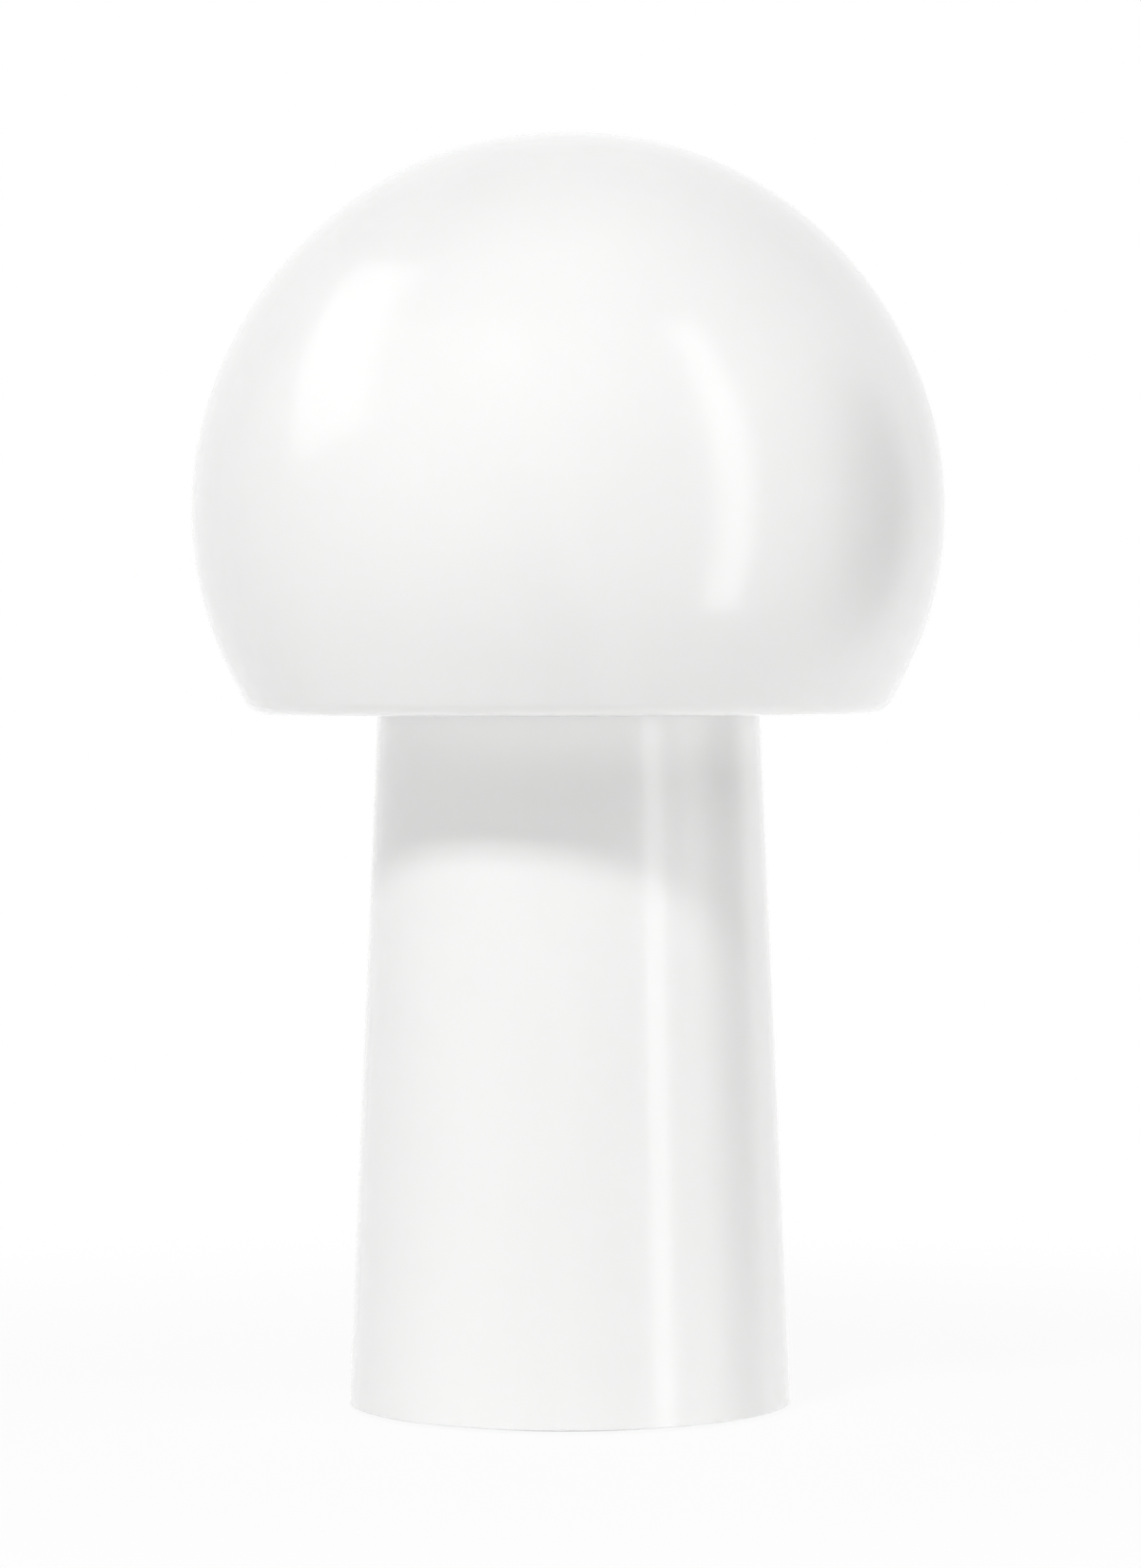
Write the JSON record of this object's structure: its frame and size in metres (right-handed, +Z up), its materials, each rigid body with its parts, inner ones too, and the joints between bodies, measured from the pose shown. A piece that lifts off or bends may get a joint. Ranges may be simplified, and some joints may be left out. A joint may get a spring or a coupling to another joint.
{
  "type": "mushroom table lamp",
  "caption": "Opal glass mushroom table lamp: a cut globe shade lifts off a spring gallery on a conical glass foot that holds a lampholder, bulb, stem and ballast.",
  "frame": {"origin": "centre of the foot on the table plane, under the felt", "axes": "+Z up along the axis of the lamp, -Y towards the pictured side, +Y towards the cord outlet"},
  "size_m": [0.2, 0.2, 0.3384],
  "materials": {
    "opal_glass": "glossy opal, opaque",
    "white_coat": "satin powder coat",
    "zinc_steel": "bright zinc plate",
    "pressed_steel": "plain zinc plate",
    "cast_iron": "as cast, dark primer",
    "silicone": "matte, milky",
    "black_rubber": "matte",
    "felt": "pressed felt",
    "abs": "fine textured",
    "gland_nylon": "smooth moulded",
    "holder_plastic": "smooth moulded",
    "porcelain": "glazed",
    "brass": "plain",
    "copper_tag": "tinned",
    "terminal_plastic": "translucent nylon",
    "lead_brown": "extruded insulation",
    "lead_blue": "extruded insulation",
    "lead_earth": "green with yellow stripe",
    "bulb_glass": "soft white coat",
    "bulb_nickel": "plain nickel",
    "bulb_black": "black glass",
    "solder": "dull solder"
  },
  "bodies": {
    "stand": {"base_glass": "opal_glass", "gallery_gasket": "silicone", "gallery_cup": "white_coat", "shade_cushion": "silicone", "stem_tube": "zinc_steel", "spacer_tube": "zinc_steel", "bottom_nut": "zinc_steel", "earth_tag": "copper_tag", "bottom_lock_washer": "zinc_steel", "clamp_plate": "pressed_steel", "edge_ring": "black_rubber", "ballast_disc": "cast_iron", "seat_washer": "zinc_steel", "top_lock_washer": "zinc_steel", "jam_nut": "zinc_steel", "foot_cover": "abs", "cover_pillars": "zinc_steel", "cover_screws": "zinc_steel", "felt_ring": "felt", "cord_gland": "gland_nylon", "gland_nut": "gland_nylon", "cord_clamp_bar": "abs", "cord_clamp_screws": "zinc_steel", "terminal_block": "terminal_plastic", "block_screws": "zinc_steel", "terminal_screws": "brass", "lead_live": "lead_brown", "lead_neutral": "lead_blue", "lead_earth": "lead_earth", "lampholder_cap": "holder_plastic", "lampholder_insert": "porcelain", "lampholder_shell": "holder_plastic", "screw_shell": "brass", "shell_rivets": "brass", "centre_contact": "brass", "contact_screw": "brass"},
    "shade": {"shade_glass": "opal_glass"},
    "bulb_carrier": {"bulb_insulator": "bulb_black", "bulb_contact": "solder"},
    "bulb": {"bulb_globe": "bulb_glass", "bulb_cap": "bulb_nickel"}
  },
  "joints": [
    {"name": "shade_lift", "type": "slide", "parent": "stand", "child": "shade", "axis": [0, 0, 1], "range_m": [0, 0.13]},
    {"name": "bulb_rise", "type": "slide", "parent": "stand", "child": "bulb_carrier", "axis": [0, 0, 1], "range_m": [0, 0.01996]},
    {"name": "bulb_turn", "type": "hinge", "parent": "bulb_carrier", "child": "bulb", "pos_m": [0, 0, 0.2], "axis": [0, 0, 1], "range_deg": [0, 1980.1]}
  ],
  "couplings": [
    {"joint": "bulb_turn", "follows": "bulb_rise", "rad_per_m": 1731.4}
  ]
}
